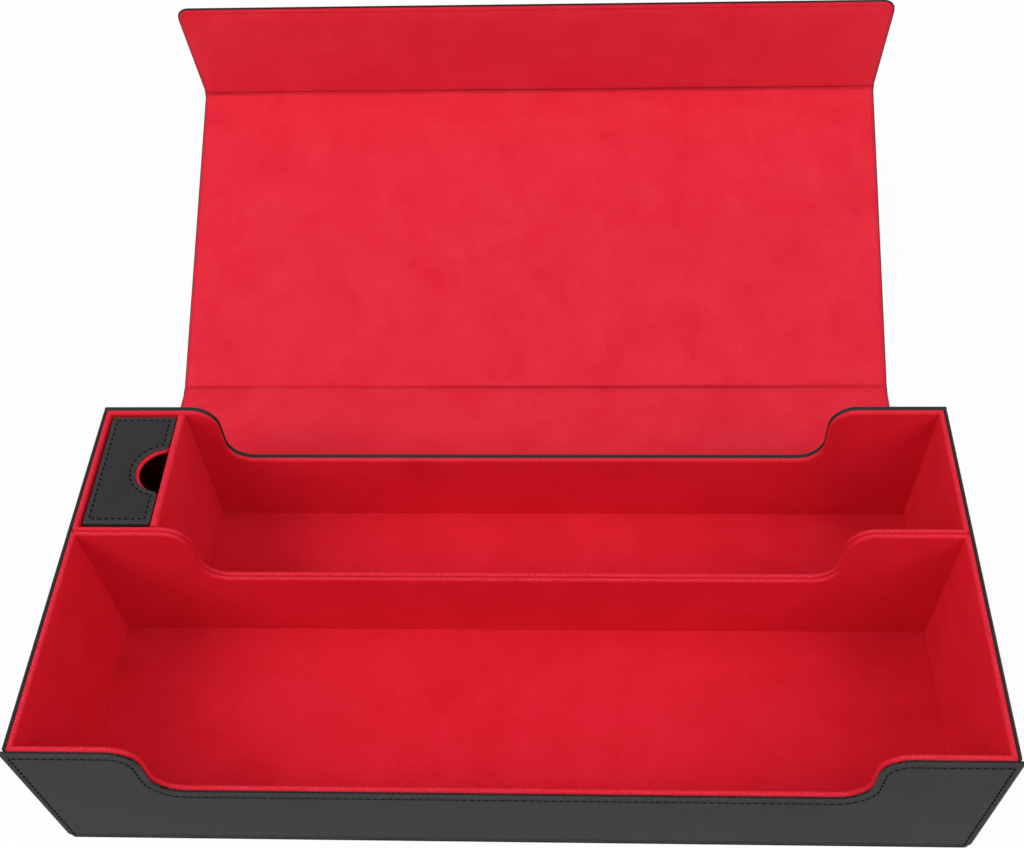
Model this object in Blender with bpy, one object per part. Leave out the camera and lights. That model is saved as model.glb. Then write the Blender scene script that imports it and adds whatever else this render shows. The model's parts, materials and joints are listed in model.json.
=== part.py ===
"""Playing card box with a lift-out drawer, a fold-over lid and a front flap.

Metres, +Z up. The origin is the centre of the underside of the box, +X runs along
the box and -Y is its front. The box is shown open: the spine lies flat on the table
behind it, the lid slopes up from the spine and the flap is folded towards the box.
"""

import math

import bmesh
import bpy

# Box, measured outside
BOX_LENGTH = 0.480
BOX_DEPTH = 0.2215
BOX_HEIGHT = 0.099

# Materials by thickness
LEATHER = 0.0008
SUEDE = 0.0008
WALL_BOARD = 0.0015
BASE_BOARD = 0.0025
FLOOR_PANEL = 0.0026
LINING_PANEL = 0.0028
LID_BOARD = 0.0012
GAP = 0.0003

# Hand dip in the front wall, the divider and the rear wall
DIP_DEPTH = 0.0416
SHOULDER_RADIUS = 0.0144
FOOT_RADIUS = 0.014
HORN_LAND = 0.0017

# Rows of cards
FRONT_ROW_DEPTH = 0.124
PARTITION = 0.0044
PARTITION_ROUND = 0.0018
LINING_EDGE_ROUND = 0.0011
LEATHER_EDGE_ROUND = 0.0006

# Lift-out drawer
DRAWER_WIDTH = 0.0361
DRAWER_SIDE_PLAY = 0.0017
DRAWER_FRONT_PLAY = 0.0024
DRAWER_REAR_PLAY = 0.0019
RUNNING_GAP = 0.0005
DRAWER_SINK = 0.0006
DRAWER_WALL = 0.0018
FACE_BOARD = 0.0044
NOTCH_DEPTH = 0.0150
NOTCH_RADIUS = 0.0150
NOTCH_SHOULDER = 0.0036
NOTCH_OFFSET = -0.0009

# Spine, lid and flap
LID_CLEARANCE = 0.0005
FLAP_CLEARANCE = 0.0008
FOLD_SETOFF = 0.0004
CREASE_PLAY = 0.00012
FLAP_LENGTH = 0.0715
FLAP_CORNER = 0.009
SEAM_WIDTH = 0.0045
CREASE_RIM = 0.0010

# Closing magnets, hidden in the front wall and in the flap
MAGNET_RADIUS = 0.005
MAGNET_BELOW_DIP = 0.009
MAGNET_PLACES_SHARE = {"left": -0.27, "right": 0.27}

# Rest pose: slope of the lid above the table, and of the flap above the table
LID_SLOPE = math.radians(23)
FLAP_SLOPE = math.radians(101)

ARC_STEPS = 8
MAGNET_SIDES = 24
ROUND_STEPS = 2

# Colour, roughness and metallic value of each finish
BLACK_LEATHER = ((0.045, 0.044, 0.046), 0.55, 0.0)
RED_SUEDE = ((0.60, 0.015, 0.035), 0.95, 0.0)
GREYBOARD = ((0.34, 0.31, 0.27), 0.90, 0.0)
MAGNET_STEEL = ((0.62, 0.62, 0.64), 0.30, 1.0)

QUARTER = math.pi / 2
SIDE_TURNS = {"front": 0.0, "right": QUARTER, "rear": math.pi, "left": -QUARTER}

# Thicknesses that add up
shell = LEATHER + GAP + WALL_BOARD
wall = shell + GAP + LINING_PANEL
shell_foot = LEATHER + GAP
lining_foot = shell_foot + BASE_BOARD + GAP
floor_top = lining_foot + FLOOR_PANEL
lid_thickness = LEATHER + GAP + LID_BOARD + GAP + SUEDE

# Plan of the rows
inner_end = BOX_LENGTH / 2 - wall
front_row_front = -BOX_DEPTH / 2 + wall
front_row_rear = front_row_front + FRONT_ROW_DEPTH
divider_seam = front_row_rear + LINING_PANEL + GAP / 2
rear_row_front = divider_seam + GAP / 2 + LINING_PANEL
rear_row_rear = BOX_DEPTH / 2 - wall
rear_row_depth = rear_row_rear - rear_row_front

# Plan of the drawer and its well
partition_left = -inner_end + DRAWER_SIDE_PLAY + DRAWER_WIDTH + RUNNING_GAP
partition_right = partition_left + PARTITION
drawer_length = rear_row_depth - DRAWER_FRONT_PLAY - DRAWER_REAR_PLAY
drawer_x = partition_left - RUNNING_GAP - DRAWER_WIDTH / 2
drawer_y = rear_row_rear - DRAWER_REAR_PLAY - drawer_length / 2
drawer_foot = floor_top + GAP
drawer_height = BOX_HEIGHT - DRAWER_SINK - drawer_foot
dip_start = -partition_right - HORN_LAND

# Folding cover: each fold is a strip between two creases, at 45 degrees when closed
fold_leg = LID_CLEARANCE + lid_thickness - FOLD_SETOFF
fold_width = fold_leg * math.sqrt(2)
crease_setback = LEATHER * math.tan(QUARTER / 4) + CREASE_PLAY
band_setback = LEATHER + GAP + SUEDE - crease_setback * math.sqrt(2) + GAP
spine_length = BOX_HEIGHT + LID_CLEARANCE + lid_thickness - 2 * fold_leg
lid_length = BOX_DEPTH + FOLD_SETOFF + FLAP_CLEARANCE + lid_thickness - fold_leg
magnet_height = BOX_HEIGHT - DIP_DEPTH - MAGNET_BELOW_DIP
flap_top = BOX_HEIGHT + LID_CLEARANCE + lid_thickness - fold_leg


def clear_scene():
    for item in list(bpy.data.objects):
        bpy.data.objects.remove(item, do_unlink=True)


def add_object(name, bm, finish, parent=None, place=(0, 0, 0), turn=(0, 0, 0)):
    """Make a named object with its own material from a bmesh, and place it."""
    bmesh.ops.recalc_face_normals(bm, faces=bm.faces)
    mesh = bpy.data.meshes.new(name)
    bm.to_mesh(mesh)
    bm.free()
    colour, roughness, metallic = finish
    material = bpy.data.materials.new(name + "_material")
    material.use_nodes = True
    shader = material.node_tree.nodes["Principled BSDF"]
    shader.inputs["Base Color"].default_value = (*colour, 1.0)
    shader.inputs["Roughness"].default_value = roughness
    shader.inputs["Metallic"].default_value = metallic
    mesh.materials.append(material)
    item = bpy.data.objects.new(name, mesh)
    bpy.context.scene.collection.objects.link(item)
    item.parent = parent
    item.location = place
    item.rotation_euler = turn
    return item


def add_pivot(name, parent=None, place=(0, 0, 0), fold=0.0):
    """Make an empty on a joint's axis, folded up by an angle about X."""
    pivot = bpy.data.objects.new(name, None)
    bpy.context.scene.collection.objects.link(pivot)
    pivot.parent = parent
    pivot.location = place
    pivot.rotation_euler = (fold, 0, 0)
    return pivot


# Outlines are lists of (across, up) points, anticlockwise
def arc(centre, radius, start, end):
    points = []
    for step in range(ARC_STEPS + 1):
        angle = start + (end - start) * step / ARC_STEPS
        points.append((centre[0] + radius * math.cos(angle), centre[1] + radius * math.sin(angle)))
    return points


def rectangle(left, right, low, high):
    return [(left, low), (right, low), (right, high), (left, high)]


def dipped_outline(half_length, low, inset=0.0):
    """Wall outline whose top edge falls in an S to the hand dip and rises again."""
    shoulder = (dip_start, BOX_HEIGHT - SHOULDER_RADIUS)
    foot = (dip_start - SHOULDER_RADIUS - FOOT_RADIUS, BOX_HEIGHT - DIP_DEPTH + FOOT_RADIUS)
    right = [(half_length, low), (half_length, BOX_HEIGHT - inset)]
    right += arc(shoulder, SHOULDER_RADIUS - inset, QUARTER, math.pi)
    right += arc(foot, FOOT_RADIUS + inset, 0, -QUARTER)
    return right + [(-across, up) for across, up in reversed(right)]


def flap_outline(side_inset=0.0, crease_inset=0.0):
    """Flap outline: straight along the crease, round at its two free corners."""
    half = BOX_LENGTH / 2 - side_inset
    centre = (BOX_LENGTH / 2 - FLAP_CORNER, FLAP_LENGTH - FLAP_CORNER)
    corner = arc(centre, FLAP_CORNER - side_inset, 0, QUARTER)
    right = [(half, crease_setback + crease_inset)] + corner
    return right + [(-across, up) for across, up in reversed(right)]


def notched_outline(half_width, half_length):
    """Drawer face outline with the half-round thumb notch in its +X edge."""
    middle = half_width - (NOTCH_DEPTH - NOTCH_RADIUS)
    shoulder = half_width - NOTCH_SHOULDER
    lean = math.asin((middle - shoulder) / (NOTCH_RADIUS + NOTCH_SHOULDER))
    reach = (NOTCH_RADIUS + NOTCH_SHOULDER) * math.cos(lean)
    points = [(-half_width, -half_length), (half_width, -half_length)]
    points += arc((shoulder, NOTCH_OFFSET - reach), NOTCH_SHOULDER, 0, QUARTER - lean)
    points += arc((middle, NOTCH_OFFSET), NOTCH_RADIUS, 3 * QUARTER - lean, QUARTER + lean)[1:-1]
    points += arc((shoulder, NOTCH_OFFSET + reach), NOTCH_SHOULDER, -QUARTER + lean, 0)
    points += [(half_width, half_length), (-half_width, half_length)]
    return points


def add_loop(bm, outline, height):
    return [bm.verts.new((across, up, height)) for across, up in outline]


def join_loops(bm, first, second):
    for index in range(len(first)):
        after = (index + 1) % len(first)
        bm.faces.new((first[index], first[after], second[after], second[index]))


def plate(outline, thickness, foot=0.0):
    """Flat plate that rises from the foot height by its thickness."""
    bm = bmesh.new()
    low = add_loop(bm, outline, foot)
    high = add_loop(bm, outline, foot + thickness)
    bm.faces.new(low)
    bm.faces.new(high)
    join_loops(bm, low, high)
    return bm


def tray(outline, pocket, thickness, skin, foot=0.0):
    """Plate with a pocket in its lower face, which leaves a skin over the pocket."""
    bm = bmesh.new()
    rim = add_loop(bm, outline, foot)
    outer = add_loop(bm, outline, foot + thickness)
    mouth = add_loop(bm, pocket, foot)
    floor = add_loop(bm, pocket, foot + thickness - skin)
    bm.faces.new(outer)
    bm.faces.new(floor)
    join_loops(bm, rim, outer)
    join_loops(bm, rim, mouth)
    join_loops(bm, mouth, floor)
    return bm


def round_edges(bm, radius, chosen):
    edges = [edge for edge in bm.edges if chosen(edge)]
    bmesh.ops.bevel(bm, geom=edges, offset=radius, segments=ROUND_STEPS, profile=0.5, affect="EDGES")
    return bm


def level_edge(edge, height):
    """True for an edge that lies at one height."""
    return all(math.isclose(vert.co.z, height, abs_tol=GAP / 10) for vert in edge.verts)


def leather_wall(outline, pocket):
    """Leather of one wall: the outer face, turned in over all four edges."""
    bm = tray(outline, pocket, shell, LEATHER)
    return round_edges(bm, LEATHER_EDGE_ROUND, lambda edge: level_edge(edge, shell))


def lining_wall(outline, end, low):
    """Suede-covered lining panel with mitred ends and a rounded top edge."""
    bm = plate(outline, LINING_PANEL)
    for vert in bm.verts:
        if vert.co.z > LINING_PANEL / 2 and math.isclose(abs(vert.co.x), end, abs_tol=GAP / 10):
            vert.co.x += math.copysign(LINING_PANEL, vert.co.x)

    def top_edge(edge):
        flat = level_edge(edge, 0) or level_edge(edge, LINING_PANEL)
        above_foot = max(vert.co.y for vert in edge.verts) > low + GAP
        at_ends = [math.copysign(1, vert.co.x) for vert in edge.verts if abs(vert.co.x) > end - GAP]
        upright = abs(sum(at_ends)) == 2
        return flat and above_foot and not upright

    return round_edges(bm, LINING_EDGE_ROUND, top_edge)


def add_side(name, side, bm, finish, offset):
    """Place a wall panel, drawn from outside, with its inner face at the offset."""
    turn = SIDE_TURNS[side]
    place = (offset * math.sin(turn), -offset * math.cos(turn), 0)
    return add_object(name, bm, finish, place=place, turn=(QUARTER, 0, turn))


def add_base():
    half_length = BOX_LENGTH / 2
    rear_edge = BOX_DEPTH / 2 + FOLD_SETOFF - crease_setback
    sheet = rectangle(-half_length, half_length, -BOX_DEPTH / 2, rear_edge)
    add_object("base_leather", plate(sheet, LEATHER), BLACK_LEATHER)
    board_x = half_length - shell - GAP
    board_y = BOX_DEPTH / 2 - shell - GAP
    board = rectangle(-board_x, board_x, -board_y, board_y)
    add_object("base_board", plate(board, BASE_BOARD, shell_foot), GREYBOARD)


def add_long_wall(side):
    """Front or rear wall: dipped leather over a dipped board."""
    half = BOX_LENGTH / 2
    offset = BOX_DEPTH / 2 - shell
    outline = dipped_outline(half, shell_foot)
    pocket = dipped_outline(half - LEATHER, shell_foot + LEATHER, LEATHER)
    add_side(side + "_leather", side, leather_wall(outline, pocket), BLACK_LEATHER, offset)
    inset = LEATHER + GAP
    board = dipped_outline(half - inset, shell_foot + inset, inset)
    return add_side(side + "_board", side, plate(board, WALL_BOARD), GREYBOARD, offset)


def add_end_wall(side):
    """Left or right wall: full-height leather over a board, between the long walls."""
    half = BOX_DEPTH / 2 - shell - GAP
    offset = BOX_LENGTH / 2 - shell
    outline = rectangle(-half, half, shell_foot, BOX_HEIGHT)
    pocket = rectangle(-half + LEATHER, half - LEATHER, shell_foot + LEATHER, BOX_HEIGHT - LEATHER)
    add_side(side + "_leather", side, leather_wall(outline, pocket), BLACK_LEATHER, offset)
    inset = LEATHER + GAP
    board = rectangle(-half + inset, half - inset, shell_foot + inset, BOX_HEIGHT - inset)
    add_side(side + "_board", side, plate(board, WALL_BOARD), GREYBOARD, offset)


def add_lining_ring(front, rear, names):
    """Four mitred lining panels that stand on the base board round one row."""
    mitre = GAP * math.sqrt(0.5)
    long_end = inner_end - mitre
    short_end = (rear - front) / 2 - mitre
    middle = (rear + front) / 2
    for side, offset in (("front", -front), ("rear", rear)):
        bm = lining_wall(dipped_outline(long_end, lining_foot), long_end, lining_foot)
        add_side(names[side], side, bm, RED_SUEDE, offset)
    for side in ("left", "right"):
        outline = rectangle(-short_end, short_end, lining_foot, BOX_HEIGHT)
        bm = lining_wall(outline, short_end, lining_foot)
        panel = add_side(names[side], side, bm, RED_SUEDE, inner_end)
        panel.location.y = middle


def add_floor(name, left, right, front, rear):
    outline = rectangle(left + GAP, right - GAP, front + GAP, rear - GAP)
    add_object(name, plate(outline, FLOOR_PANEL, lining_foot), RED_SUEDE)


def add_rows():
    add_lining_ring(front_row_front, front_row_rear, {
        "front": "front_row_front_lining", "rear": "divider_front_panel",
        "left": "front_row_left_lining", "right": "front_row_right_lining"})
    add_lining_ring(rear_row_front, rear_row_rear, {
        "front": "divider_rear_panel", "rear": "rear_row_rear_lining",
        "left": "rear_row_left_lining", "right": "rear_row_right_lining"})
    add_floor("front_row_floor", -inner_end, inner_end, front_row_front, front_row_rear)
    add_floor("rear_row_floor", partition_right, inner_end, rear_row_front, rear_row_rear)
    add_floor("drawer_well_floor", -inner_end, partition_left, rear_row_front, rear_row_rear)


def add_partition():
    """Upright panel between the drawer's well and the rear row, round along its top."""
    half = rear_row_depth / 2 - GAP
    bm = plate(rectangle(-half, half, lining_foot, BOX_HEIGHT), PARTITION)

    def top_edge(edge):
        flat = level_edge(edge, 0) or level_edge(edge, PARTITION)
        return flat and min(vert.co.y for vert in edge.verts) > lining_foot + GAP

    round_edges(bm, PARTITION_ROUND, top_edge)
    panel = add_side("partition", "right", bm, RED_SUEDE, partition_left)
    panel.location.y = (rear_row_front + rear_row_rear) / 2


def disc(centre, radius, low, high):
    """Round disc as a bmesh, standing on the low height."""
    bm = bmesh.new()
    outline = []
    for side in range(MAGNET_SIDES):
        angle = 2 * math.pi * side / MAGNET_SIDES
        outline.append((centre[0] + radius * math.cos(angle), centre[1] + radius * math.sin(angle)))
    lower = add_loop(bm, outline, low)
    upper = add_loop(bm, outline, high)
    bm.faces.new(lower)
    bm.faces.new(upper)
    join_loops(bm, lower, upper)
    return bm


def add_magnets(name, board, up, foot):
    """Two magnets as thick as the board that they lie in, and the holes that hold them."""
    thickness = board.dimensions.z
    seat = (board.parent, board.location, board.rotation_euler)
    for side, share in MAGNET_PLACES_SHARE.items():
        centre = (share * BOX_LENGTH, up)
        magnet = disc(centre, MAGNET_RADIUS, foot, foot + thickness)
        add_object(name + "_" + side, magnet, MAGNET_STEEL, *seat)
        drill = disc(centre, MAGNET_RADIUS + GAP, foot - thickness, foot + 2 * thickness)
        cutter = add_object(name + "_hole_" + side, drill, GREYBOARD, *seat)
        cutter.hide_render = True
        cutter.display_type = "WIRE"
        hole = board.modifiers.new("hole_" + side, "BOOLEAN")
        hole.operation = "DIFFERENCE"
        hole.solver = "EXACT"
        hole.object = cutter


def add_drawer():
    """Tall tray that lifts out of its well: open towards the row, face on top."""
    slide = add_pivot("drawer_slide", place=(drawer_x, drawer_y, drawer_foot))
    half_width = DRAWER_WIDTH / 2
    half_length = drawer_length / 2
    face_foot = drawer_height - LEATHER
    board_foot = face_foot - GAP - FACE_BOARD
    face = plate(notched_outline(half_width, half_length), LEATHER, face_foot)
    add_object("drawer_face_leather", face, BLACK_LEATHER, slide)
    board = plate(notched_outline(half_width, half_length), FACE_BOARD, board_foot)
    add_object("drawer_face_board", board, RED_SUEDE, slide)

    wall_top = board_foot - GAP
    inner_left = -half_width + DRAWER_WALL + GAP
    inner_half = half_length - DRAWER_WALL - GAP
    outlines = {
        "drawer_left_panel": rectangle(-half_width, -half_width + DRAWER_WALL, -half_length, half_length),
        "drawer_front_panel": rectangle(inner_left, half_width, -half_length, -half_length + DRAWER_WALL),
        "drawer_rear_panel": rectangle(inner_left, half_width, half_length - DRAWER_WALL, half_length),
    }
    for name, outline in outlines.items():
        add_object(name, plate(outline, wall_top), BLACK_LEATHER, slide)
    bottom = rectangle(inner_left, half_width, -inner_half, inner_half)
    add_object("drawer_bottom_panel", plate(bottom, DRAWER_WALL), BLACK_LEATHER, slide)

    lining_low = DRAWER_WALL + GAP
    lining_wall_low = lining_low + SUEDE + GAP
    lining_height = wall_top - lining_wall_low
    add_object("drawer_bottom_lining", plate(bottom, SUEDE, lining_low), RED_SUEDE, slide)
    side_half = inner_half - SUEDE
    linings = {
        "drawer_front_lining": rectangle(inner_left, half_width, -inner_half, -side_half),
        "drawer_rear_lining": rectangle(inner_left, half_width, side_half, inner_half),
        "drawer_left_lining": rectangle(inner_left, inner_left + SUEDE, -side_half + GAP, side_half - GAP),
    }
    for name, outline in linings.items():
        add_object(name, plate(outline, lining_height, lining_wall_low), RED_SUEDE, slide)


def add_fold(name, parent, place, slope):
    """Fold between two panels: a narrow strip with a crease along each side."""
    first = add_pivot(name + "_first_crease", parent, place, slope / 2)
    half = BOX_LENGTH / 2
    strip = rectangle(-half, half, crease_setback, fold_width - crease_setback)
    add_object(name + "_leather", plate(strip, LEATHER), BLACK_LEATHER, first)
    band = rectangle(-half, half, band_setback, fold_width - band_setback)
    add_object(name + "_lining", plate(band, SUEDE, LEATHER + GAP), RED_SUEDE, first)
    return add_pivot(name + "_second_crease", first, (0, fold_width, 0), slope / 2)


def add_cover_panel(name, pivot, outline, pocket, board):
    """Leather outside, board inside, and a lining whose border is sewn to the leather."""
    add_object(name + "_leather", plate(outline, LEATHER), BLACK_LEATHER, pivot)
    foot = LEATHER + GAP
    lining = tray(outline, pocket, lid_thickness - foot, SUEDE, foot)
    add_object(name + "_lining", lining, RED_SUEDE, pivot)
    return add_object(name + "_board", plate(board, LID_BOARD, foot), GREYBOARD, pivot)


def panel_outline(length, side_inset=0.0, crease_inset=0.0):
    """Panel between two creases, measured from the first crease."""
    half = BOX_LENGTH / 2 - side_inset
    setback = crease_setback + crease_inset
    return rectangle(-half, half, setback, length - setback)


def add_cover():
    """Spine, lid and flap, joined by folds, from the base of the rear wall."""
    place = (0, BOX_DEPTH / 2 + FOLD_SETOFF, 0)
    slopes = {"base_fold": 0.0, "lid_fold": LID_SLOPE, "flap_fold": FLAP_SLOPE - LID_SLOPE}
    inner = (SEAM_WIDTH, CREASE_RIM)
    board = (SEAM_WIDTH + GAP, CREASE_RIM + GAP)

    spine = add_fold("base_fold", None, place, slopes["base_fold"])
    add_cover_panel("spine", spine, panel_outline(spine_length), panel_outline(spine_length, *inner),
                    panel_outline(spine_length, *board))
    lid = add_fold("lid_fold", spine, (0, spine_length, 0), slopes["lid_fold"])
    add_cover_panel("lid", lid, panel_outline(lid_length), panel_outline(lid_length, *inner),
                    panel_outline(lid_length, *board))
    flap = add_fold("flap_fold", lid, (0, lid_length, 0), slopes["flap_fold"])
    flap_board = add_cover_panel("flap", flap, flap_outline(), flap_outline(*inner), flap_outline(*board))
    add_magnets("flap_magnet", flap_board, flap_top - magnet_height, LEATHER + GAP)


clear_scene()
add_base()
front_board = add_long_wall("front")
add_magnets("front_magnet", front_board, magnet_height, 0)
add_long_wall("rear")
add_end_wall("left")
add_end_wall("right")
add_rows()
add_partition()
add_drawer()
add_cover()
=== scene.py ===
import json
import math

import bmesh
import bpy
import numpy as np
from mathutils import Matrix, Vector, noise


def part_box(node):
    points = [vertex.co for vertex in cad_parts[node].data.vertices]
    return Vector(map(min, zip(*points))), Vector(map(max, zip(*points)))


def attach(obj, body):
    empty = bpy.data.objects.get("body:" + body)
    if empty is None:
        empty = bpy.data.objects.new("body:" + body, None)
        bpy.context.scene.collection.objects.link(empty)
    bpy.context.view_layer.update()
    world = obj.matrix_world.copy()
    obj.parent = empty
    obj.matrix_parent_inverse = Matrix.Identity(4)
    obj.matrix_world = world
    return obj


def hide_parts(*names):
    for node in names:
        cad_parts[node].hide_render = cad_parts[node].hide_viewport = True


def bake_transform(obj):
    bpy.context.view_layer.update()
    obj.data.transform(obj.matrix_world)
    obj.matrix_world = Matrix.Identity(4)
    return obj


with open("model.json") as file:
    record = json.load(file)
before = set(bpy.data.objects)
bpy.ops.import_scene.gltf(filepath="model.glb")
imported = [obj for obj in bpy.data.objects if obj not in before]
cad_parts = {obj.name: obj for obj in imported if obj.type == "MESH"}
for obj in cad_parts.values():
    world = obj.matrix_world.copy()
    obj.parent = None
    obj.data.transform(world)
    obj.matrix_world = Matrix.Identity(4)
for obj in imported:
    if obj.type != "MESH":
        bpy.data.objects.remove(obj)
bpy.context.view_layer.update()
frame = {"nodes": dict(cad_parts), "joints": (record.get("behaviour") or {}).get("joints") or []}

# Camera
# It stands in front of the open box and looks down into its rows, so that the lid rises behind
# them. Its picture was cropped off centre, which the lens shift repeats.
scene = bpy.context.scene
camera = bpy.data.cameras.new("camera")
camera.lens = 42.765
camera.sensor_width = 36.0
camera.shift_x = -0.03195
camera.shift_y = 0.15585
camera.clip_start = 0.01
viewer = bpy.data.objects.new("camera", camera)
viewer.location = (0.038752, -0.360251, 0.612905)
viewer.rotation_euler = (0.59712, 0.02695, 0.02373)
scene.collection.objects.link(viewer)
scene.camera = viewer


# Floor and light
# A white studio sweep that keeps a faint shadow under the box, a softbox at either side of the
# camera with the left one stronger, weak ones overhead and in front, and pale walls all round.
def linear(code):
    """Linear colour with alpha from an sRGB hex code."""
    channels = [int(code[place:place + 2], 16) / 255 for place in (1, 3, 5)]
    return (*(c / 12.92 if c <= 0.04045 else ((c + 0.055) / 1.055) ** 2.4 for c in channels), 1.0)


def add_node(tree, kind, inputs=None, **settings):
    """Add a node and set its properties. An input is a value, or a socket or node to link from."""
    made = tree.nodes.new(kind)
    for name, value in settings.items():
        setattr(made, name, value)
    for name, value in (inputs or {}).items():
        if isinstance(value, bpy.types.Node):
            value = value.outputs[0]
        if isinstance(value, bpy.types.NodeSocket):
            tree.links.new(value, made.inputs[name])
        else:
            made.inputs[name].default_value = value
    return made


def empty_tree(owner):
    """Node tree of a material or world, with its nodes taken out."""
    owner.use_nodes = True
    owner.node_tree.nodes.clear()
    return owner.node_tree


def seen_directly(tree):
    """One for what the camera, a mirror or glass sees, and nought for light that falls on things."""
    ray = add_node(tree, "ShaderNodeLightPath")
    either = add_node(tree, "ShaderNodeMath", {
        0: ray.outputs["Is Camera Ray"], 1: ray.outputs["Is Glossy Ray"]}, operation="MAXIMUM")
    return add_node(tree, "ShaderNodeMath", {
        0: either, 1: ray.outputs["Is Transmission Ray"]}, operation="MAXIMUM")


sky = bpy.data.worlds.new("studio")
tree = empty_tree(sky)
room_light = 0.36
room = add_node(tree, "ShaderNodeBackground", {"Color": linear("#FFFFFF"), "Strength": room_light})
backdrop = add_node(tree, "ShaderNodeBackground", {"Color": linear("#FFFFFF"), "Strength": 1.0})
mix = add_node(tree, "ShaderNodeMixShader", {0: seen_directly(tree), 1: room, 2: backdrop})
add_node(tree, "ShaderNodeOutputWorld", {"Surface": mix})
scene.world = sky
scene.view_settings.view_transform = "Standard"

floor_half = 3.0
floor_drop = 0.0003
shadow_share = 0.06
sweep = bpy.data.meshes.new("studio_floor")
sweep.from_pydata([(-floor_half, -floor_half, -floor_drop), (floor_half, -floor_half, -floor_drop),
                   (floor_half, floor_half, -floor_drop), (-floor_half, floor_half, -floor_drop)],
                  [], [(0, 1, 2, 3)])
paper = bpy.data.materials.new("white_seamless_paper")
tree = empty_tree(paper)
diffuse = add_node(tree, "ShaderNodeBsdfDiffuse", {"Color": linear("#FCFCFC")})
glow = add_node(tree, "ShaderNodeEmission", {"Color": linear("#FFFFFF"), "Strength": 1.0})
share = add_node(tree, "ShaderNodeMath", {0: seen_directly(tree), 1: 1 - shadow_share}, operation="MULTIPLY")
mix = add_node(tree, "ShaderNodeMixShader", {0: share, 1: diffuse, 2: glow})
add_node(tree, "ShaderNodeOutputMaterial", {"Surface": mix})
sweep.materials.append(paper)
studio_floor = bpy.data.objects.new("studio_floor", sweep)
scene.collection.objects.link(studio_floor)

lamp_target = Vector((0, 0.1, 0))
softboxes = {
    "left_softbox": ((-1.25, -0.6, 1.38), (1.1, 1.1), 18.0),
    "right_softbox": ((1.25, -0.6, 1.38), (1.1, 1.1), 14.2),
    "overhead_softbox": ((0.0, 0.3, 1.5), (0.9, 0.7), 2.4),
    "front_softbox": ((0.1, -1.6, 1.2), (1.0, 0.7), 1.6),
}
for name, (place, size, power) in softboxes.items():
    lamp = bpy.data.lights.new(name, "AREA")
    lamp.shape = "RECTANGLE"
    lamp.size, lamp.size_y = size
    lamp.energy = power
    softbox = bpy.data.objects.new(name, lamp)
    softbox.location = place
    softbox.rotation_euler = (lamp_target - Vector(place)).to_track_quat("-Z", "Y").to_euler()
    scene.collection.objects.link(softbox)


# Base sheet
# One sheet of coated leather runs under the box and back to the first fold of the cover. A board
# is glued on it. The coating is a soft polyurethane, pressed with a fine crossed grain.
grain_ridge = 0.00108
grain_wander = 0.0009
ridge_share = 0.50
crossed_share = 0.32
pore_share = 0.18
cloud_share = 0.25
flattening = 0.6


def new_material(name):
    """A material, its emptied tree, and the place on the object that its textures follow."""
    made = bpy.data.materials.new(name)
    tree = empty_tree(made)
    return made, tree, add_node(tree, "ShaderNodeTexCoord").outputs["Object"]


def pressed_grain(tree, place):
    """Height of the pressed grain, from 0 to 1: slanting ridges, crossed by weaker ones, with pores."""
    wander = add_node(tree, "ShaderNodeTexNoise", {"Vector": place, "Scale": 90.0, "Detail": 1.0})
    shift = add_node(tree, "ShaderNodeVectorMath", {
        0: wander.outputs["Color"], "Scale": grain_wander}, operation="SCALE")
    moved = add_node(tree, "ShaderNodeVectorMath", {0: place, 1: shift}, operation="ADD")
    turned = add_node(tree, "ShaderNodeMapping", {"Vector": moved, "Scale": (1.0, -1.0, -1.0)})
    # A diagonal wave turns by 10 radians for each unit of x + y + z
    scale = math.pi * math.sqrt(2) / (10 * grain_ridge)
    along = add_node(tree, "ShaderNodeTexWave", {
        "Vector": moved, "Scale": scale}, bands_direction="DIAGONAL")
    crossed = add_node(tree, "ShaderNodeTexWave", {
        "Vector": turned, "Scale": scale}, bands_direction="DIAGONAL")
    pores = add_node(tree, "ShaderNodeTexNoise", {"Vector": place, "Scale": 1500.0, "Detail": 2.0})
    height = 0.0
    for layer, share in ((along, ridge_share), (crossed, crossed_share), (pores, pore_share)):
        height = add_node(tree, "ShaderNodeMath", {
            0: layer.outputs["Fac"], 1: share, 2: height}, operation="MULTIPLY_ADD")
    return height


# Polyurethane-coated leather: satin black, near black between the ridges and grey along them: the
# grain, with painted shade in its valleys and painted glints on its ridges. Where it is drawn over an edge,
# the grain is stretched nearly flat and scuffed to a lighter grey, which along the rim is partly a painted
# highlight.
black_leather, tree, place = new_material("black_coated_leather")
grain_height = pressed_grain(tree, place)
drawn_and_highlight = add_node(tree, "ShaderNodeAttribute", attribute_name="drawn_over_and_rim_highlight").outputs["Fac"]
kept = add_node(tree, "ShaderNodeMath", {0: drawn_and_highlight, 1: -flattening, 2: 1.0}, operation="MULTIPLY_ADD")
relief = add_node(tree, "ShaderNodeMath", {0: grain_height, 1: kept}, operation="MULTIPLY")
cloudy = add_node(tree, "ShaderNodeTexNoise", {"Vector": place, "Scale": 22.0, "Detail": 3.0})
tone = add_node(tree, "ShaderNodeMath", {
    0: cloudy, 1: cloud_share, 2: grain_height}, operation="MULTIPLY_ADD")
# Painted shade and glints: the ramp runs from near black in the grain's valleys to grey on its ridges
colour = add_node(tree, "ShaderNodeValToRGB", {"Fac": tone})
colour.color_ramp.elements[0].position = 0.30
colour.color_ramp.elements[0].color = linear("#111011")
colour.color_ramp.elements[1].position = 0.95
colour.color_ramp.elements[1].color = linear("#3A383A")
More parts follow.
